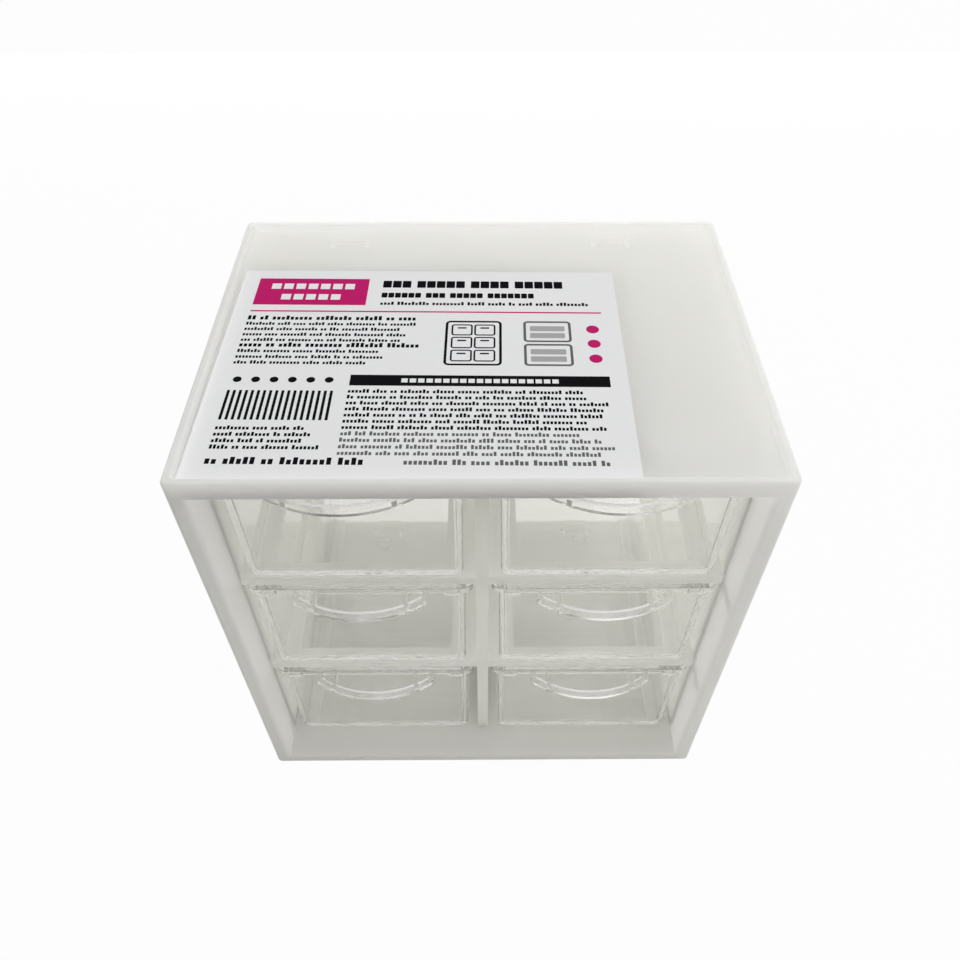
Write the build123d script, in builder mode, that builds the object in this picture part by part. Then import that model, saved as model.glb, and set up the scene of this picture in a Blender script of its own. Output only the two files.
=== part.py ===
"""Desktop drawer case: a milky shell with a two by three rack of clear drawers.

The case is a moulded shell, open at the front and the back. A rack with a centre divider and
windowed shelves slides in from the back until it meets the thick front collar, and a back panel
with four snap tongues closes it in. Six clear drawers, each with a bow handle, run in the cells.
Millimetres, +Z up, drawer fronts towards -Y, origin on the ground under the middle of the case.
"""
from build123d import *
from math import cos, radians, sin
import os

os.makedirs("parts", exist_ok=True)

# Cells of the rack
rows = 3
columns = 2
cell_width = 55.8
row_pitch = 37.45
shelf_thickness = 2.9
divider_thickness = 3.0
rack_wall = 2.0
rack_depth = 84.0
rack_edge_radius = 0.4

# Windows in the shelves, open towards the back
window_side_margin = 7.0
window_front_margin = 5.0

# Shell
shell_wall = 2.0
collar_depth = 10.0
floor_thickness = 2.3
top_thickness = 2.85
corner_radius = 1.5
edge_radius = 0.6
collar_edge_radius = 1.2
floor_recess_depth = 1.1
floor_recess_setback = 0.8

# Stacking tray on top and the foot ring that drops into the tray of a case below
tray_depth = 2.0
rim_wall = 1.7
tray_corner_radius = 1.2
rim_edge_radius = 0.4
foot_height = 1.5
foot_width = 2.0
stacking_clearance = 0.4

# Back panel and its snap tongues
back_thickness = 1.8
back_edge_radius = 0.3
tongue_offset = 4.4
tongue_width = 8.0
tongue_length = 8.2
floor_tongue_thickness = 0.8
top_tongue_thickness = 1.3
nose_width = 7.6
nose_length = 2.4
nose_inset = 0.9
nose_tip_gap = 0.5
slot_width = 10.8
slot_length = 3.0

# Tenons that key the rack into the collar at each shelf
tenon_length = 8.0
tenon_thickness = 1.2
tenon_inset = 0.7

# Clearances between the fixed pieces
rack_side_gap = 0.2
rack_top_gap = 0.15
rack_back_gap = 0.2
back_edge_gap = 0.2
tongue_gap = 0.15
tenon_gap = 0.15

# Drawers
drawer_wall = 1.4
drawer_floor = 1.5
drawer_side_draft = 0.55
drawer_bottom_radius = 2.5
drawer_edge_radius = 1.2
cavity_edge_radius = 0.8
flange_side_overhang = 1.8
flange_end_overhang = 0.8
flange_height = 1.9
flange_corner_radius = 3.0
flange_edge_radius = 0.3
bump_inset = 5.35
bump_width = 4.0
bump_reach = 0.8
bump_drop = 0.3
gate_diameter = 4.0
gate_depth = 0.3

# Running clearances of a drawer in its cell
drawer_under_gap = 0.25
drawer_over_gap = 0.4
flange_side_gap = 0.55
drawer_back_gap = 2.2

# Bow handle under the front of the flange
handle_width = 32.5
handle_reach = 7.6
handle_end_length = 2.3
handle_strip = 1.5
handle_height = 2.0
handle_corner_radius = 1.2
handle_rib_inset = 5.15
handle_rib_thickness = 1.0

# Paper label on the floor of the tray
label_width = 91.0
label_depth = 72.5
label_thickness = 0.12
label_margin = 0.3
label_turn = 0.9

# Places that follow from the sizes above
column_pitch = cell_width + divider_thickness
cells_width = columns * column_pitch - divider_thickness
rack_width = cells_width + 2 * rack_wall
bore_width = rack_width + 2 * rack_side_gap
case_width = bore_width + 2 * shell_wall
case_depth = collar_depth + rack_depth + rack_back_gap + back_thickness
front_y = -case_depth / 2
back_y = case_depth / 2
rack_front_y = front_y + collar_depth
rack_back_y = rack_front_y + rack_depth
panel_front_y = back_y - back_thickness

floor_z = foot_height + floor_thickness
ceiling_z = floor_z + rows * row_pitch
tray_z = ceiling_z + top_thickness
case_height = tray_z + tray_depth
recess_z = floor_z - floor_recess_depth
rack_top_z = ceiling_z - rack_top_gap
shelf_tops = [floor_z + row * row_pitch for row in range(1, rows)]
cell_floors = [floor_z] + shelf_tops
cell_centres = [(column - (columns - 1) / 2) * column_pitch for column in range(columns)]

window_width = cell_width - 2 * window_side_margin
outward = [1 if x > 0 else -1 for x in cell_centres]
tongue_places = [x + side * tongue_offset for x, side in zip(cell_centres, outward)]
tray_width = case_width - 2 * rim_wall
tray_length = case_depth - 2 * rim_wall
tenon_x = cells_width / 2 + tenon_inset + tenon_thickness / 2
tongue_front_y = panel_front_y - tongue_length
nose_y = tongue_front_y + nose_inset + nose_length / 2


def cut_between(width, depth, bottom, top, x, y):
    """Cuts an upright block out of the part being built."""
    with BuildSketch(Plane.XY.offset(bottom)) as block:
        with Locations((x, y)):
            Rectangle(width, depth)
    extrude(block.sketch, amount=top - bottom, mode=Mode.SUBTRACT)


def add_between(width, depth, bottom, top, x, y):
    """Adds an upright block to the part being built."""
    with BuildSketch(Plane.XY.offset(bottom)) as block:
        with Locations((x, y)):
            Rectangle(width, depth)
    extrude(block.sketch, amount=top - bottom)


# Case shell
with BuildPart() as case_shell:
    with BuildSketch(Plane.XY.offset(foot_height)):
        RectangleRounded(case_width, case_depth, corner_radius)
    extrude(amount=case_height - foot_height)
    fillet(case_shell.faces().filter_by(Axis.Z).edges(), edge_radius)

    # Foot ring, sized to drop inside the rim of a case below
    foot_outer_width = tray_width - 2 * stacking_clearance
    foot_outer_length = tray_length - 2 * stacking_clearance
    with BuildSketch():
        RectangleRounded(foot_outer_width, foot_outer_length, tray_corner_radius)
        RectangleRounded(
            foot_outer_width - 2 * foot_width,
            foot_outer_length - 2 * foot_width,
            tray_corner_radius,
            mode=Mode.SUBTRACT,
        )
    extrude(amount=foot_height)

    # Stacking tray
    with BuildSketch(Plane.XY.offset(tray_z)):
        RectangleRounded(tray_width, tray_length, tray_corner_radius)
    extrude(amount=tray_depth, mode=Mode.SUBTRACT)
    rim_top = case_shell.faces().filter_by(Axis.Z).sort_by(Axis.Z)[-1]
    fillet(rim_top.inner_wires()[0].edges(), rim_edge_radius)

    # Opening through the collar, then the wider bore that takes the rack and the back panel
    cut_between(cells_width, collar_depth, floor_z, ceiling_z, 0, front_y + collar_depth / 2)
    front_face = case_shell.faces().filter_by(Axis.Y).sort_by(Axis.Y)[0]
    fillet(front_face.inner_wires()[0].edges(), collar_edge_radius)
    bore_length = back_y - rack_front_y
    cut_between(bore_width, bore_length, floor_z, ceiling_z, 0, back_y - bore_length / 2)

    # Recess in the floor of each lower cell, running out at the back
    recess_length = bore_length - floor_recess_setback
    for x in cell_centres:
        cut_between(window_width, recess_length, recess_z, floor_z, x, back_y - recess_length / 2)

    # Snap slots through the tray floor and the case floor
    for x in tongue_places:
        cut_between(slot_width, slot_length, ceiling_z, tray_z, x, nose_y)
        cut_between(slot_width, slot_length, foot_height, recess_z, x, nose_y)

    # Pockets for the tenons of the rack
    for shelf_top in shelf_tops:
        for side in (-1, 1):
            cut_between(
                tenon_thickness + 2 * tenon_gap,
                tenon_length + tenon_gap,
                shelf_top - shelf_thickness - tenon_gap,
                shelf_top + tenon_gap,
                side * tenon_x,
                rack_front_y - (tenon_length + tenon_gap) / 2,
            )

case_shell.part.label = "case_shell"
export_step(case_shell.part, "parts/case_shell.step")


# Rack
with BuildPart() as drawer_rack:
    rack_y = (rack_front_y + rack_back_y) / 2
    with BuildSketch(Plane.XY.offset(floor_z)):
        with Locations((0, rack_y)):
            Rectangle(rack_width, rack_depth)
    extrude(amount=rack_top_z - floor_z)

    # Cells, open at the front and the back, the lowest ones open below as well
    for x in cell_centres:
        for cell_floor in cell_floors:
            cell_top = cell_floor + row_pitch - shelf_thickness
            cut_between(cell_width, rack_depth, cell_floor, cell_top, x, rack_y)
    fillet(drawer_rack.faces().sort_by(Axis.Y)[0].edges().filter_by(Axis.X), rack_edge_radius)

    # Windows through every shelf, open at the back
    window_length = rack_depth - window_front_margin
    for x in cell_centres:
        cut_between(window_width, window_length, floor_z, rack_top_z, x, rack_back_y - window_length / 2)

    # Tenons at the shelf ends
    for shelf_top in shelf_tops:
        for side in (-1, 1):
            add_between(
                tenon_thickness,
                tenon_length,
                shelf_top - shelf_thickness,
                shelf_top,
                side * tenon_x,
                rack_front_y - tenon_length / 2,
            )

drawer_rack.part.label = "drawer_rack"
export_step(drawer_rack.part, "parts/drawer_rack.step")


# Back panel
with BuildPart() as back_panel:
    panel_bottom = floor_z + back_edge_gap
    panel_top = ceiling_z - back_edge_gap
    panel_y = panel_front_y + back_thickness / 2
    add_between(bore_width - 2 * back_edge_gap, back_thickness, panel_bottom, panel_top, 0, panel_y)
    fillet(back_panel.faces().sort_by(Axis.Y)[-1].edges(), back_edge_radius)

    # Skirts that close the floor recesses
    skirt_width = window_width - 2 * back_edge_gap
    skirt_bottom = recess_z + tongue_gap
    skirt_top = panel_bottom + back_edge_radius
    for x in cell_centres:
        add_between(skirt_width, back_thickness, skirt_bottom, skirt_top, x, panel_y)

    # Snap tongues on the floor and under the top, each with a nose in its slot
    top_tongue_top = ceiling_z - tongue_gap
    floor_tongue_top = skirt_bottom + floor_tongue_thickness
    tongue_y = tongue_front_y + tongue_length / 2
    for x in tongue_places:
        add_between(tongue_width, tongue_length, skirt_bottom, floor_tongue_top, x, tongue_y)
        add_between(nose_width, nose_length, foot_height + nose_tip_gap, skirt_bottom, x, nose_y)
        add_between(
            tongue_width,
            tongue_length,
            top_tongue_top - top_tongue_thickness,
            top_tongue_top,
            x,
            tongue_y,
        )
        add_between(nose_width, nose_length, top_tongue_top, tray_z - nose_tip_gap, x, nose_y)

back_panel.part.label = "back_panel"
export_step(back_panel.part, "parts/back_panel.step")


# Label, turned slightly clockwise and tucked into the front left corner of the tray
with BuildPart() as label:
    turn_cos = cos(radians(label_turn))
    turn_sin = sin(radians(label_turn))
    label_reach_x = (label_width * turn_cos + label_depth * turn_sin) / 2
    label_reach_y = (label_width * turn_sin + label_depth * turn_cos) / 2
    label_x = -tray_width / 2 + label_margin + label_reach_x
    label_y = -tray_length / 2 + label_margin + label_reach_y
    with BuildSketch(Plane.XY.offset(tray_z)):
        with Locations((label_x, label_y)):
            Rectangle(label_width, label_depth, rotation=-label_turn)
    extrude(amount=label_thickness)

label.part.label = "label"
export_step(label.part, "parts/label.step")


# Drawers
drawer_height = row_pitch - shelf_thickness - drawer_under_gap - drawer_over_gap
drawer_length = rack_depth - drawer_back_gap
drawer_centre_y = rack_front_y + drawer_length / 2
flange_width = cell_width - 2 * flange_side_gap
flange_length = drawer_length + 2 * flange_end_overhang
drawer_top_width = flange_width - 2 * flange_side_overhang
bump_spacing = flange_width - 2 * bump_inset
handle_rib_spacing = handle_width - 2 * handle_rib_inset


def drawer_profile(inset, floor, height):
    """Front outline of a drawer with tapered sides, drawn in by a wall and raised by a floor."""
    slope = drawer_side_draft / drawer_height
    head_half = drawer_top_width / 2 - slope * (drawer_height - height) - inset
    foot_half = drawer_top_width / 2 - slope * (drawer_height - floor) - inset
    with BuildLine() as outline:
        Polyline(
            (-head_half, height),
            (-foot_half, floor),
            (foot_half, floor),
            (head_half, height),
            close=True,
        )
    make_face(outline.line)


def handle_outline():
    """Plan outline of the bow handle, from inside the front wall to the front of the bow."""
    half = handle_width / 2
    with BuildLine() as outline:
        ThreePointArc((-half, -handle_end_length), (0, -handle_reach), (half, -handle_end_length))
        Polyline(
            (half, -handle_end_length),
            (half, handle_strip),
            (-half, handle_strip),
            (-half, -handle_end_length),
        )
    make_face(outline.line)


def make_drawer(name, centre_x, cell_floor):
    """One clear drawer in its closed place."""
    bottom = cell_floor + drawer_under_gap
    front_plane = Plane(origin=(centre_x, rack_front_y, bottom), x_dir=(1, 0, 0), z_dir=(0, -1, 0))
    flange_z = bottom + drawer_height - flange_height
    handle_plane = Plane(origin=(centre_x, rack_front_y, flange_z))

    # Holes of the handle, between and outside its two ribs
    with BuildSketch() as handle_holes:
        handle_outline()
        fillet(handle_holes.vertices().sort_by(Axis.Y)[:2], handle_corner_radius)
        offset(amount=-handle_strip, mode=Mode.REPLACE)
        with GridLocations(handle_rib_spacing, 0, 2, 1):
            Rectangle(handle_rib_thickness, 4 * handle_reach, mode=Mode.SUBTRACT)

    with BuildPart() as drawer:
        # Tapered body with round lower corners and soft front and back outlines
        with BuildSketch(front_plane) as front_outline:
            drawer_profile(0, 0, drawer_height)
            fillet(front_outline.vertices().sort_by(Axis.Y)[:2], drawer_bottom_radius)
        extrude(amount=-drawer_length)
        ends = drawer.faces().filter_by(Axis.Y).edges()
        fillet(ends.sort_by(Axis.Z)[:-2], drawer_edge_radius)

        # Flange round the top, then two bumps on its front
        flange_plane = Plane(origin=(centre_x, drawer_centre_y, flange_z))
        with BuildSketch(flange_plane):
            RectangleRounded(flange_width, flange_length, flange_corner_radius)
        extrude(amount=flange_height)
        fillet(drawer.faces().sort_by(Axis.Z)[-1].edges(), flange_edge_radius)
        with BuildSketch(flange_plane):
            with Locations((0, -flange_length / 2)):
                with GridLocations(bump_spacing, 0, 2, 1):
                    Ellipse(bump_width / 2, bump_reach)
        extrude(amount=flange_height - bump_drop)

        # Bow handle
        with BuildSketch(handle_plane) as handle:
            handle_outline()
            fillet(handle.vertices().sort_by(Axis.Y)[:2], handle_corner_radius)
            add(handle_holes.sketch, mode=Mode.SUBTRACT)
        extrude(amount=-handle_height)

        # Inside of the drawer
        cavity_plane = front_plane.offset(-drawer_wall)
        with BuildSketch(cavity_plane) as cavity_outline:
            drawer_profile(drawer_wall, drawer_floor, drawer_height)
            inner_radius = drawer_bottom_radius - drawer_wall
            fillet(cavity_outline.vertices().sort_by(Axis.Y)[:2], inner_radius)
        extrude(amount=-(drawer_length - 2 * drawer_wall), mode=Mode.SUBTRACT)
        inner_ends = drawer.faces().filter_by(Axis.Y).filter_by_position(
            Axis.Y, rack_front_y + drawer_wall / 2, rack_front_y + drawer_length - drawer_wall / 2
        )
        fillet(inner_ends.edges().sort_by(Axis.Z)[:-2], cavity_edge_radius)

        # Gate mark under the middle of the floor
        with BuildSketch(Plane(origin=(centre_x, drawer_centre_y, bottom))):
            Circle(gate_diameter / 2)
        extrude(amount=gate_depth, mode=Mode.SUBTRACT)

    drawer.part.label = name
    export_step(drawer.part, f"parts/{name}.step")


row_names = ["bottom", "middle", "top"]
column_names = ["left", "right"]
for row_name, cell_floor in zip(row_names, cell_floors):
    for column_name, centre_x in zip(column_names, cell_centres):
        make_drawer(f"drawer_{row_name}_{column_name}", centre_x, cell_floor)
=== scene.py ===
"""Looks of the desktop drawer case: milky and clear polystyrene, a printed paper label, soft light.

Everything is in metres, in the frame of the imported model: +Z up, drawer fronts towards -Y, the
ground at Z = 0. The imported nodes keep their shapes. This script gives them finishes, lays the
print on the label and sets up the camera, the floor and the light.
"""

from math import cos, pi, radians, sin
from random import Random

import bmesh
import bpy
from mathutils import Euler, Matrix, Vector


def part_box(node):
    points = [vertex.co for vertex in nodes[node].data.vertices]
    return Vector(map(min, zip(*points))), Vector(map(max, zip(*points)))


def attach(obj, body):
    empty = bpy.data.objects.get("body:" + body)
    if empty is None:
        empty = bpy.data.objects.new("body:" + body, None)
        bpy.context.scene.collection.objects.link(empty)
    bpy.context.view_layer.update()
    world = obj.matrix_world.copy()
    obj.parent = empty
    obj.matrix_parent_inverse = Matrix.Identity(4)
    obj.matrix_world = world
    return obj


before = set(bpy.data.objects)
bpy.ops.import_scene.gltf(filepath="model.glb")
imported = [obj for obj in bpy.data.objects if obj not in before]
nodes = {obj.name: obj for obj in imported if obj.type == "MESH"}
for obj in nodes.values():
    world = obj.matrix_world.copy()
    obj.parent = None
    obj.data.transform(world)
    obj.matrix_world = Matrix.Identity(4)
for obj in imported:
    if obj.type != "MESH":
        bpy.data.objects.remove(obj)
scene = bpy.context.scene
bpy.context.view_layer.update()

MM = 0.001


# Camera, at the place and angle from which the photograph was taken
CAMERA_PLACE_MM = (0.2, -157.9, 235.3)
CAMERA_TURN_DEGREES = (39.91, -0.08, -0.36)
CAMERA_LENS = 31.215
CAMERA_SENSOR_WIDTH = 36.0
CAMERA_SHIFT = (-0.0074, 0.0641)
CAMERA_REACH = (0.01, 20.0)


def make_camera():
    data = bpy.data.cameras.new("camera")
    data.lens = CAMERA_LENS
    data.sensor_width = CAMERA_SENSOR_WIDTH
    data.shift_x, data.shift_y = CAMERA_SHIFT
    data.clip_start, data.clip_end = CAMERA_REACH
    camera = bpy.data.objects.new("camera", data)
    camera.location = Vector(CAMERA_PLACE_MM) * MM
    camera.rotation_euler = Euler([radians(angle) for angle in CAMERA_TURN_DEGREES])
    scene.collection.objects.link(camera)
    scene.camera = camera


make_camera()


# Small helpers for node trees
def new_material(name):
    material = bpy.data.materials.new(name)
    material.use_nodes = True
    material.node_tree.nodes.clear()
    return material


def feed(tree, socket, value):
    """Links a socket to another one, or sets it to a plain value."""
    if isinstance(value, bpy.types.NodeSocket):
        tree.links.new(value, socket)
    else:
        socket.default_value = value


def find_socket(sockets, key):
    """The enabled socket whose name, written in lower case with underscores, is the key."""
    for socket in sockets:
        if socket.enabled and socket.name.lower().replace(" ", "_") == key:
            return socket
    raise KeyError(key)


def add_node(tree, kind, **inputs):
    """Adds a node and fills or links its inputs, named in lower case."""
    node = tree.nodes.new(kind)
    for key, value in inputs.items():
        feed(tree, find_socket(node.inputs, key), value)
    return node


def new_group(name, inputs, outputs):
    """A shader node group with float inputs given as name: value, and float outputs."""
    tree = bpy.data.node_groups.new(name, "ShaderNodeTree")
    for label, value in inputs.items():
        socket = tree.interface.new_socket(label, in_out="INPUT", socket_type="NodeSocketFloat")
        socket.default_value = value
    for label in outputs:
        tree.interface.new_socket(label, in_out="OUTPUT", socket_type="NodeSocketFloat")
    entry = tree.nodes.new("NodeGroupInput")
    leave = tree.nodes.new("NodeGroupOutput")
    return tree, entry.outputs, leave.inputs


def place_group(tree, group, **inputs):
    node = tree.nodes.new("ShaderNodeGroup")
    node.node_tree = group
    for key, value in inputs.items():
        find_socket(node.inputs, key).default_value = value
    return node.outputs


def calculate(tree, operation, first, second=0.0):
    node = tree.nodes.new("ShaderNodeMath")
    node.operation = operation
    for socket, value in zip(node.inputs, (first, second)):
        feed(tree, socket, value)
    return node.outputs[0]


def spread(tree, value, low, high):
    """Maps a value between 0 and 1 to one between low and high."""
    node = add_node(tree, "ShaderNodeMapRange", value=value, to_min=low, to_max=high)
    return node.outputs[0]


def mask_between(tree, value, low, high):
    """A mask that rises from 0 to 1 while the value goes from low to high."""
    node = add_node(tree, "ShaderNodeMapRange", value=value, from_min=low, from_max=high)
    return node.outputs[0]


def noise(tree, place, scale, detail, roughness=0.5):
    node = add_node(
        tree, "ShaderNodeTexNoise", vector=place, scale=scale, detail=detail, roughness=roughness
    )
    return node.outputs[0]


def mix_shaders(tree, share, first, second):
    """The first shader where the share is 0, the second where it is 1."""
    node = tree.nodes.new("ShaderNodeMixShader")
    for socket, value in zip(node.inputs, (share, first, second)):
        feed(tree, socket, value)
    return node.outputs[0]


def object_place(tree):
    return tree.nodes.new("ShaderNodeTexCoord").outputs["Object"]


# Surface of moulded polystyrene: flow waves, a fine polish grain and hairline scuffs. The scuffs
# and their patches come in between two values of a noise.
POLISH_GRAIN_SCALE = 2600.0
SCUFF_TURN = (0.3, 0.2, 0.6)
SCUFF_STRETCH = (60.0, 900.0, 60.0)
SCUFF_LINES = (0.62, 0.72)
SCUFF_PATCH_SCALE = 55.0
SCUFF_PATCHES = (0.48, 0.68)
SCUFF_DEPTH = 0.03


def moulded_surface_group():
    tree, given, out = new_group(
        "moulded_surface",
        {"Wave Size": 0.02, "Wave Depth": 0.5, "Grain Depth": 0.1, "Scuffs": 0.5},
        ("Height", "Wear", "Flow"),
    )
    place = object_place(tree)
    waves = noise(tree, place, calculate(tree, "DIVIDE", 1.0, given["Wave Size"]), 1.0, 0.4)
    grain = noise(tree, place, POLISH_GRAIN_SCALE, 2.0, 0.6)

    # Hairline scuffs run in one direction, broken up by a coarse mask
    stretched = add_node(
        tree, "ShaderNodeMapping", vector=place, rotation=SCUFF_TURN, scale=SCUFF_STRETCH
    ).outputs[0]
    lines = mask_between(tree, noise(tree, stretched, 1.0, 3.0, 0.7), *SCUFF_LINES)
    patches = mask_between(tree, noise(tree, place, SCUFF_PATCH_SCALE, 2.0), *SCUFF_PATCHES)
    wear = calculate(tree, "MULTIPLY", calculate(tree, "MULTIPLY", lines, patches), given["Scuffs"])

    height = calculate(tree, "MULTIPLY", waves, given["Wave Depth"])
    fine = calculate(tree, "MULTIPLY", grain, given["Grain Depth"])
    height = calculate(tree, "ADD", height, fine)
    height = calculate(tree, "SUBTRACT", height, calculate(tree, "MULTIPLY", wear, SCUFF_DEPTH))
    tree.links.new(height, out["Height"])
    tree.links.new(wear, out["Wear"])
    tree.links.new(waves, out["Flow"])
    return tree


# Surface of coated paper: soft sheet waves, a fibre grain and uneven gloss
FIBRE_SCALE = 1900.0
SHEET_WAVE_SCALE = 28.0


def coated_paper_group():
    tree, given, out = new_group(
        "coated_paper", {"Fibre Depth": 0.2, "Sheet Wave": 1.0}, ("Height", "Fibre")
    )
    place = object_place(tree)
    fibre = noise(tree, place, FIBRE_SCALE, 4.0, 0.65)
    sheet = noise(tree, place, SHEET_WAVE_SCALE, 1.0, 0.3)
    height = calculate(tree, "MULTIPLY", fibre, given["Fibre Depth"])
    wave = calculate(tree, "MULTIPLY", sheet, given["Sheet Wave"])
    tree.links.new(calculate(tree, "ADD", height, wave), out["Height"])
    tree.links.new(fibre, out["Fibre"])
    return tree


MOULDED_SURFACE = moulded_surface_group()
COATED_PAPER = coated_paper_group()


def bump_from(tree, height, strength, distance):
    """A normal from a height.

    The distance, in metres, is how far a height of 1 stands proud. Strength and distance come in
    pairs, such as MILKY_BUMP.
    """
    return add_node(
        tree, "ShaderNodeBump", height=height, strength=strength, distance=distance
    ).outputs[0]


def toned(tree, mask, plain, marked):
    """A colour that goes from plain to marked with the mask."""
    ramp = tree.nodes.new("ShaderNodeValToRGB")
    ramp.color_ramp.elements[0].color = (*plain, 1.0)
    ramp.color_ramp.elements[1].color = (*marked, 1.0)
    tree.links.new(mask, ramp.inputs[0])
    return ramp.outputs[0]


def finish_with(material, shader, depth=None):
    output = material.node_tree.nodes.new("ShaderNodeOutputMaterial")
    material.node_tree.links.new(shader, output.inputs["Surface"])
    if depth:
        material.node_tree.links.new(depth, output.inputs["Volume"])
    return material


# Milky polystyrene of the shell, the rack and the back panel. Part of the light that falls on it
# goes on through the wall and comes out spread on the other side.
POLYSTYRENE_IOR = 1.59
MILKY_SHINE = 0.45
MILKY_BUMP = (0.35, 0.0006)
MILKY_SCUFF_ROUGHNESS = 0.22


def milky_polystyrene(name, plain, cloudy, glow, through, gloss, wave_size):
    """The colour goes from plain to cloudy, and the through share comes out in the glow colour."""
    material = new_material(name)
    tree = material.node_tree
    surface = place_group(
        tree, MOULDED_SURFACE, wave_size=wave_size, wave_depth=0.6, grain_depth=0.05, scuffs=0.6
    )
    normal = bump_from(tree, surface["Height"], *MILKY_BUMP)
    body = add_node(
        tree,
        "ShaderNodeBsdfPrincipled",
        base_color=toned(tree, surface["Flow"], plain, cloudy),
        roughness=spread(tree, surface["Wear"], gloss, gloss + MILKY_SCUFF_ROUGHNESS),
        normal=normal,
        ior=POLYSTYRENE_IOR,
        specular_ior_level=MILKY_SHINE,
    )
    inside = add_node(tree, "ShaderNodeBsdfTranslucent", color=(*glow, 1.0), normal=normal)
    return finish_with(material, mix_shaders(tree, through, body.outputs[0], inside.outputs[0]))


def milky_shell():
    return milky_polystyrene(
        "milky_shell",
        plain=(0.965, 0.965, 0.96),
        cloudy=(0.98, 0.98, 0.975),
        glow=(0.985, 0.983, 0.97),
        through=0.6,
        gloss=0.3,
        wave_size=0.03,
    )


def milky_rack():
    return milky_polystyrene(
        "milky_rack",
        plain=(0.98, 0.98, 0.974),
        cloudy=(0.99, 0.99, 0.984),
        glow=(0.995, 0.994, 0.981),
        through=0.78,
        gloss=0.28,
        wave_size=0.02,
    )


def milky_panel():
    return milky_polystyrene(
        "milky_panel",
        plain=(0.98, 0.98, 0.974),
        cloudy=(0.99, 0.99, 0.984),
        glow=(0.995, 0.994, 0.981),
        through=0.8,
        gloss=0.26,
        wave_size=0.035,
    )


# Clear polystyrene of the drawers, which lets the light of the lamps through. Along the whole
# length of a wall, the plastic takes up about a fifth of the light.
CLEAR_COLOURS = ((0.99, 0.992, 0.988), (0.996, 0.996, 0.993))
CLEAR_ROUGHNESS = (0.02, 0.3)
CLEAR_BUMP = (0.25, 0.0005)
CLEAR_SHADOW_TINT = (0.998, 0.998, 0.997, 1.0)
CLEAR_DEPTH_TINT = (0.8, 0.805, 0.8, 1.0)
CLEAR_DEPTH_DENSITY = 15.0


def clear_polystyrene():
    material = new_material("clear_polystyrene")
    tree = material.node_tree
    surface = place_group(
        tree, MOULDED_SURFACE, wave_size=0.018, wave_depth=0.25, grain_depth=0.004, scuffs=1.0
    )
    body = add_node(
        tree,
        "ShaderNodeBsdfPrincipled",
        base_color=toned(tree, surface["Flow"], *CLEAR_COLOURS),
        roughness=spread(tree, surface["Wear"], *CLEAR_ROUGHNESS),
        normal=bump_from(tree, surface["Height"], *CLEAR_BUMP),
        ior=POLYSTYRENE_IOR,
        transmission_weight=1.0,
    )
    passing = tree.nodes.new("ShaderNodeBsdfTransparent")
    passing.inputs[0].default_value = CLEAR_SHADOW_TINT
    rays = tree.nodes.new("ShaderNodeLightPath").outputs
    soft_ray = calculate(tree, "MAXIMUM", rays["Is Shadow Ray"], rays["Is Diffuse Ray"])
    surface_shader = mix_shaders(tree, soft_ray, body.outputs[0], passing.outputs[0])
    depth = tree.nodes.new("ShaderNodeVolumeAbsorption")
    depth.inputs["Color"].default_value = CLEAR_DEPTH_TINT
    depth.inputs["Density"].default_value = CLEAR_DEPTH_DENSITY
    return finish_with(material, surface_shader, depth.outputs[0])


# Coated paper, and the inks printed on it
PAPER_IOR = 1.5
PAPER_BUMP = (0.3, 0.0004)
PAPER_UNEVEN_ROUGHNESS = 0.12
INK_GLOSS = 0.5
INK_SHINE = 0.0


def paper_finish(name, plain, marked, gloss, shine):
    material = new_material(name)
    tree = material.node_tree
    surface = place_group(tree, COATED_PAPER, fibre_depth=0.15, sheet_wave=1.0)
    body = add_node(
        tree,
        "ShaderNodeBsdfPrincipled",
        base_color=toned(tree, surface["Fibre"], plain, marked),
        roughness=spread(tree, surface["Fibre"], gloss, gloss + PAPER_UNEVEN_ROUGHNESS),
        normal=bump_from(tree, surface["Height"], *PAPER_BUMP),
        ior=PAPER_IOR,
        specular_ior_level=shine,
    )
    return finish_with(material, body.outputs[0])


def label_paper():
    return paper_finish("label_paper", (0.9, 0.903, 0.91), (0.93, 0.932, 0.938), 0.42, 0.2)


def black_ink():
    return paper_finish(
        "black_ink", (0.006, 0.006, 0.007), (0.012, 0.012, 0.013), INK_GLOSS, INK_SHINE
    )


def magenta_ink():
    return paper_finish(
        "magenta_ink", (0.56, 0.016, 0.15), (0.62, 0.022, 0.175), INK_GLOSS, INK_SHINE
    )


def grey_ink():
    return paper_finish("grey_ink", (0.12, 0.12, 0.125), (0.17, 0.17, 0.175), INK_GLOSS, INK_SHINE)


def pale_ink():
    return paper_finish("pale_ink", (0.42, 0.42, 0.425), (0.47, 0.47, 0.475), INK_GLOSS, INK_SHINE)


def dress_nodes():
    """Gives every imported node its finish: the six drawers are clear, the rest has its own."""
    finishes = {
        "case_shell": milky_shell(),
        "drawer_rack": milky_rack(),
        "back_panel": milky_panel(),
        "label": label_paper(),
    }
    clear = clear_polystyrene()
    for name, node in nodes.items():
        node.data.materials.clear()
        node.data.materials.append(finishes.get(name, clear))


dress_nodes()


# Print on the label. Places are in millimetres on the sheet, across from its left edge and up
# from its front edge.
LABEL_TURN = radians(-0.9)
LABEL_SIZE = (91.0, 72.5)
INK_THICKNESS = 0.015

# A word of greeked print has 2 to 9 marks, most of them low. Its sizes are shares of the height
# of its line.
WORD_MARKS = (2, 9)
MARK_HEIGHTS = (0.66, 0.7, 0.74, 1.0)
MARK_WIDTH = 0.46
MARK_PITCH = 0.66
WORD_SPACE = 0.5


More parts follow.
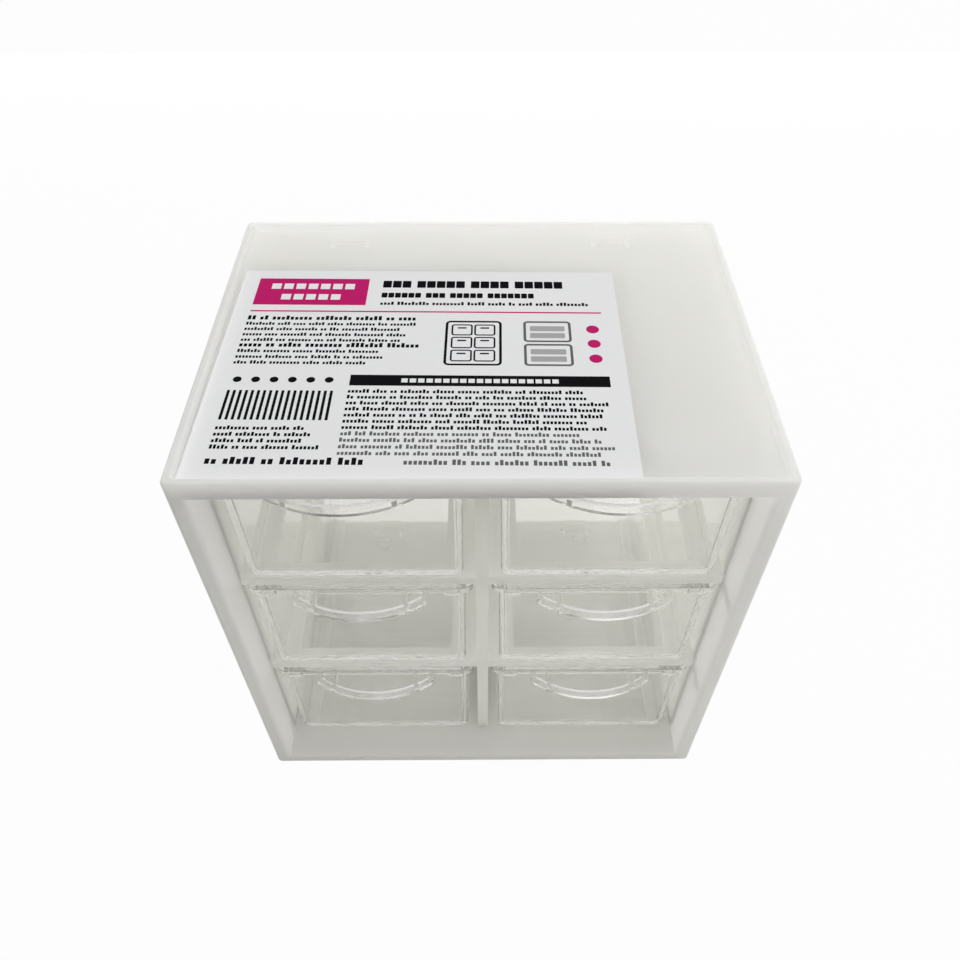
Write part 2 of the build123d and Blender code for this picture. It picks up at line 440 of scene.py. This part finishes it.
def label_matrix():
    low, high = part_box("label")
    middle = (low + high) / 2
    place = Vector((middle.x, middle.y, high.z))
    to_corner = Matrix.Translation((-LABEL_SIZE[0] / 2 * MM, -LABEL_SIZE[1] / 2 * MM, 0.0))
    return Matrix.Translation(place) @ Matrix.Rotation(LABEL_TURN, 4, "Z") @ to_corner


def rounded(left, front, width, height, radius):
    """Points of a rectangle with round corners, anticlockwise."""
    steps = 4
    corners = (
        (left + width - radius, front + height - radius, 0.0),
        (left + radius, front + height - radius, 0.5),
        (left + radius, front + radius, 1.0),
        (left + width - radius, front + radius, 1.5),
    )
    points = []
    for x, y, quarter in corners:
        for step in range(steps + 1):
            angle = (quarter + 0.5 * step / steps) * pi
            points.append((x + radius * cos(angle), y + radius * sin(angle)))
    return points


class Print:
    """Collects the printed shapes of one ink and makes one piece of them."""

    def __init__(self, name, ink):
        self.name = name
        self.ink = ink
        self.mesh = bmesh.new()

    def add_outline(self, outer, inner=None):
        """A flat shape with upright edges from one outline, or a ring between two alike ones."""
        rings = [outer] if inner is None else [outer, inner]
        low = [[self.mesh.verts.new((x * MM, y * MM, 0.0)) for x, y in ring] for ring in rings]
        top_z = INK_THICKNESS * MM
        high = [[self.mesh.verts.new((x * MM, y * MM, top_z)) for x, y in ring] for ring in rings]
        count = len(outer)
        for ring in range(len(rings)):
            for i in range(count):
                j = (i + 1) % count
                side = (low[ring][i], low[ring][j], high[ring][j], high[ring][i])
                self.mesh.faces.new(side if ring == 0 else side[::-1])
        if inner is None:
            self.mesh.faces.new(high[0])
            self.mesh.faces.new(low[0][::-1])
            return
        for i in range(count):
            j = (i + 1) % count
            self.mesh.faces.new((high[0][i], high[0][j], high[1][j], high[1][i]))
            self.mesh.faces.new((low[0][j], low[0][i], low[1][i], low[1][j]))

    def bar(self, left, front, width, height, radius=0.12):
        self.add_outline(rounded(left, front, width, height, radius))

    def frame(self, left, front, width, height, line, radius):
        outer = rounded(left, front, width, height, radius)
        inner = rounded(
            left + line, front + line, width - 2 * line, height - 2 * line, radius - line
        )
        self.add_outline(outer, inner)

    def block(self, left, front, width, height):
        """A plain rectangle."""
        right, back = left + width, front + height
        self.add_outline([(right, back), (left, back), (left, front), (right, front)])

    def line(self, left, front, width, height, seed):
        """A line of greeked print: words of small upright marks, some of them taller."""
        draw = Random(seed)
        pitch = MARK_PITCH * height
        end = left + width
        while True:
            marks = draw.randint(*WORD_MARKS)
            if left + marks * pitch > end:
                return
            for _ in range(marks):
                tall = draw.choice(MARK_HEIGHTS)
                self.block(left, front, MARK_WIDTH * height, tall * height)
                left += pitch
            left += WORD_SPACE * height

    def tiles(self, left, front, counts, width, height, gap, space):
        """Words made of even tiles, with the given numbers of tiles."""
        for count in counts:
            for index in range(count):
                self.bar(left, front, width, height, 0.25)
                left += width + gap
            left += space - gap

    def disc(self, x, y, radius):
        steps = 20
        angles = [2 * pi * step / steps for step in range(steps)]
        self.add_outline([(x + radius * cos(a), y + radius * sin(a)) for a in angles])

    def place(self):
        data = bpy.data.meshes.new(self.name)
        self.mesh.to_mesh(data)
        self.mesh.free()
        data.materials.append(self.ink)
        piece = bpy.data.objects.new(self.name, data)
        scene.collection.objects.link(piece)
        piece.matrix_world = label_matrix()
        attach(piece, "case")


# The sheet has a narrow column on the left and a wide one, with a margin all round
SHEET_MARGIN = 4.0
WIDE_COLUMN = 30.5
WIDE_COLUMN_WIDTH = 56.5


def open_panel(ink, left, front, width, height, tile, counts):
    """A solid panel made of strips, so that rows of square tiles stay open to the paper.

    The rows stand evenly up the panel, each with its own number of tiles in the middle.
    """
    gap = 0.3 * tile
    border = (height - len(counts) * tile) / (len(counts) + 1)
    ink.block(left, front, width, border)
    for count in counts:
        front += border
        margin = (width - count * tile - (count - 1) * gap) / 2
        ink.block(left, front, margin, tile)
        ink.block(left + width - margin, front, margin, tile)
        for index in range(count - 1):
            ink.block(left + margin + tile + index * (tile + gap), front, gap, tile)
        front += tile
        ink.block(left, front, width, border)


def print_heading(black, magenta):
    """A solid badge with two open rows of tiles, the heading beside it and a rule below."""
    open_panel(magenta, SHEET_MARGIN, 58.0, 27.0, 11.0, 2.3, (5, 7))
    heading_left = 34.5
    black.tiles(heading_left, 65.4, (3, 5, 4, 5), 2.1, 2.9, 0.28, 1.5)
    black.tiles(heading_left, 61.2, (6, 3, 5, 7), 1.4, 2.0, 0.22, 1.2)
    black.line(heading_left, 58.2, 52.0, 1.3, seed=1)
    magenta.bar(SHEET_MARGIN, 55.2, 83.0, 0.5, 0.2)


def print_left_lines(black):
    """Nine small lines, the first of each group bold and the others getting shorter."""
    first_front, pitch, full_width = 52.0, 2.05, 42.0
    for row in range(9):
        front = first_front - pitch * row
        if row in (0, 5):
            black.line(SHEET_MARGIN, front, full_width, 1.6, seed=10 + row)
        else:
            black.line(SHEET_MARGIN, front, full_width - 0.9 * row, 1.15, seed=10 + row)


def print_case_pictogram(black):
    """The case with its six drawers."""
    black.frame(50.5, 35.5, 13.0, 16.5, 0.6, 1.2)
    across, up = 5.25, 4.75
    for column in range(2):
        for row in range(3):
            black.frame(51.9 + across * column, 36.9 + up * row, 4.9, 4.2, 0.4, 0.7)
            black.bar(53.3 + across * column, 39.5 + up * row, 2.1, 0.5, 0.2)


def print_stack_pictogram(grey, pale):
    """One case on top of another."""
    case_pitch, row_pitch = 8.6, 2.6
    for level in range(2):
        grey.frame(68.5, 35.5 + case_pitch * level, 11.0, 7.9, 0.6, 1.0)
        for row in range(2):
            pale.bar(70.0, 37.0 + case_pitch * level + row_pitch * row, 8.0, 1.9, 0.3)


def print_right_dots(magenta):
    for row in range(3):
        magenta.disc(84.5, 38.2 + 5.4 * row, 1.5)


def print_wide_block(black, grey):
    """A solid band with one open row of tiles, and eleven lines under it, the last ones grey."""
    open_panel(black, WIDE_COLUMN, 28.4, WIDE_COLUMN_WIDTH, 3.6, 1.4, (19,))
    for row in range(11):
        ink = black if row < 7 else grey
        ink.line(WIDE_COLUMN, 26.0 - 1.9 * row, WIDE_COLUMN_WIDTH, 1.2, seed=30 + row)


def print_stripes(black):
    """Even stripes with a row of dots above and small lines below, at the front left."""
    for index in range(6):
        black.disc(6.0 + 4.0 * index, 30.2, 0.95)
    for index in range(18):
        black.bar(4.6 + 1.3 * index, 17.2, 0.62, 9.4, 0.08)
    for row in range(4):
        black.line(4.6, 14.2 - 1.9 * row, 22.5, 1.2, seed=50 + row)


def print_foot_lines(black, grey):
    black.line(4.6, 4.2, 36.0, 2.0, seed=57)
    grey.line(44.0, 4.4, 43.0, 1.5, seed=61)


def print_label():
    black = Print("print_black", black_ink())
    magenta = Print("print_magenta", magenta_ink())
    grey = Print("print_grey", grey_ink())
    pale = Print("print_pale", pale_ink())
    print_heading(black, magenta)
    print_left_lines(black)
    print_case_pictogram(black)
    print_stack_pictogram(grey, pale)
    print_right_dots(magenta)
    print_wide_block(black, grey)
    print_stripes(black)
    print_foot_lines(black, grey)
    for ink in (black, magenta, grey, pale):
        ink.place()


print_label()


# Strengths of the white background, by what looks at it: the camera, rays through clear plastic
# or off gloss, and plain rays, which light the case
FLOOR_SEEN = 0.97
FLOOR_PLAIN = 0.0
FLOOR_THROUGH_GLASS = 0.45
WORLD_SEEN = 1.0
WORLD_THROUGH_GLASS = 0.85
WORLD_PLAIN = 0.95


def ray_strength(tree, plain, through_glass, seen):
    """One strength that depends on the ray.

    A ray that a milky wall has spread counts as plain. Otherwise the glow of the floor would
    light the case from inside.
    """
    rays = tree.nodes.new("ShaderNodeLightPath").outputs
    glass = calculate(tree, "MAXIMUM", rays["Is Glossy Ray"], rays["Is Transmission Ray"])
    not_spread = calculate(tree, "SUBTRACT", 1.0, rays["Is Diffuse Ray"])
    strength = spread(tree, calculate(tree, "MULTIPLY", glass, not_spread), plain, through_glass)
    not_camera = calculate(tree, "SUBTRACT", 1.0, rays["Is Camera Ray"])
    strength = calculate(tree, "MULTIPLY", strength, not_camera)
    by_camera = calculate(tree, "MULTIPLY", rays["Is Camera Ray"], seen)
    return calculate(tree, "ADD", strength, by_camera)


# Floor: nearly white for the camera, with a little of its paper left to hold the shadow of the
# case. From below it is open, so that the underside of the case shows.
FLOOR_HALF_WIDTH = 1.5
FLOOR_GRAIN_SCALE = 90.0


def floor_paper():
    material = new_material("floor_paper")
    tree = material.node_tree
    grain = noise(tree, object_place(tree), FLOOR_GRAIN_SCALE, 3.0)
    paper = add_node(
        tree,
        "ShaderNodeBsdfPrincipled",
        base_color=toned(tree, grain, (0.53, 0.52, 0.485), (0.57, 0.56, 0.525)),
        roughness=0.9,
    ).outputs[0]
    glow = add_node(tree, "ShaderNodeEmission", strength=1.0).outputs[0]
    glow_share = ray_strength(tree, FLOOR_PLAIN, FLOOR_THROUGH_GLASS, FLOOR_SEEN)
    from_above = mix_shaders(tree, glow_share, paper, glow)
    below = tree.nodes.new("ShaderNodeNewGeometry").outputs["Backfacing"]
    nothing = tree.nodes.new("ShaderNodeBsdfTransparent").outputs[0]
    return finish_with(material, mix_shaders(tree, below, from_above, nothing))


def stage_sheet(name, corners, material):
    """A single sheet that belongs to the studio and not to the case."""
    data = bpy.data.meshes.new(name)
    data.from_pydata(corners, [], [(0, 1, 2, 3)])
    data.materials.append(material)
    sheet = bpy.data.objects.new(name, data)
    scene.collection.objects.link(sheet)
    return sheet


def make_floor():
    half = FLOOR_HALF_WIDTH
    corners = [(-half, -half, 0), (half, -half, 0), (half, half, 0), (-half, half, 0)]
    stage_sheet("floor", corners, floor_paper())


# Upright dark cards, which keep the front and the left side in gentle shade: the two ends of
# each on the floor, and its height
CARD_COLOUR = (0.08, 0.08, 0.08, 1.0)
SHADE_CARDS = {
    "front_card": ((-0.9, -0.6), (0.9, -0.6), 0.85),
    "left_card": ((-0.45, 0.7), (-0.45, -0.6), 0.7),
}


def card_paper(name):
    material = new_material(name)
    paper = add_node(
        material.node_tree, "ShaderNodeBsdfPrincipled", base_color=CARD_COLOUR, roughness=0.9
    )
    return finish_with(material, paper.outputs[0])


def make_shade_card(name, start, end, height):
    corners = [(*start, 0.0), (*end, 0.0), (*end, height), (*start, height)]
    card = stage_sheet(name, corners, card_paper(name + "_paper"))
    card.visible_camera = False
    card.visible_transmission = False
    card.visible_glossy = False


def make_world():
    world = bpy.data.worlds.new("studio")
    world.use_nodes = True
    scene.world = world
    tree = world.node_tree
    tree.nodes.clear()
    strength = ray_strength(tree, WORLD_PLAIN, WORLD_THROUGH_GLASS, WORLD_SEEN)
    air = add_node(
        tree, "ShaderNodeBackground", color=(1.0, 1.0, 1.0, 1.0), strength=strength
    ).outputs[0]
    output = tree.nodes.new("ShaderNodeOutputWorld")
    tree.links.new(air, output.inputs["Surface"])


def make_lamp(name, place, target, width, height, power):
    data = bpy.data.lights.new(name, "AREA")
    data.shape = "RECTANGLE"
    data.size = width
    data.size_y = height
    data.energy = power
    lamp = bpy.data.objects.new(name, data)
    lamp.location = place
    direction = Vector(target) - Vector(place)
    lamp.rotation_euler = direction.to_track_quat("-Z", "Y").to_euler()
    lamp.visible_camera = False
    scene.collection.objects.link(lamp)


# Lamps: place, target, width, height and power
LAMPS = {
    "overhead_softbox": ((0.25, 0.45, 1.1), (0.0, 0.0, 0.12), 0.4, 0.4, 0.3),
    "key_softbox": ((0.1, -0.42, 1.0), (0.0, 0.0, 0.08), 0.7, 0.7, 1.3),
    "side_strip": ((0.5, 0.0, 0.07), (0.0, 0.0, 0.07), 0.9, 0.12, 0.68),
    "back_strip": ((0.0, 0.5, 0.068), (0.0, 0.0, 0.068), 1.0, 0.13, 1.3),
}

make_floor()
for card_name, card_setting in SHADE_CARDS.items():
    make_shade_card(card_name, *card_setting)
make_world()
for lamp_name, lamp_setting in LAMPS.items():
    make_lamp(lamp_name, *lamp_setting)

# Clear walls stand behind each other, so light needs many steps through them. It needs fewer
# where it passes straight on to make a shadow, and between the milky walls.
CLEAR_STEPS = 128
SHADOW_STEPS = 64
MILKY_STEPS = 24
scene.cycles.max_bounces = CLEAR_STEPS
scene.cycles.transmission_bounces = CLEAR_STEPS
scene.cycles.glossy_bounces = CLEAR_STEPS
scene.cycles.transparent_max_bounces = SHADOW_STEPS
scene.cycles.diffuse_bounces = MILKY_STEPS

scene.view_settings.view_transform = "Standard"
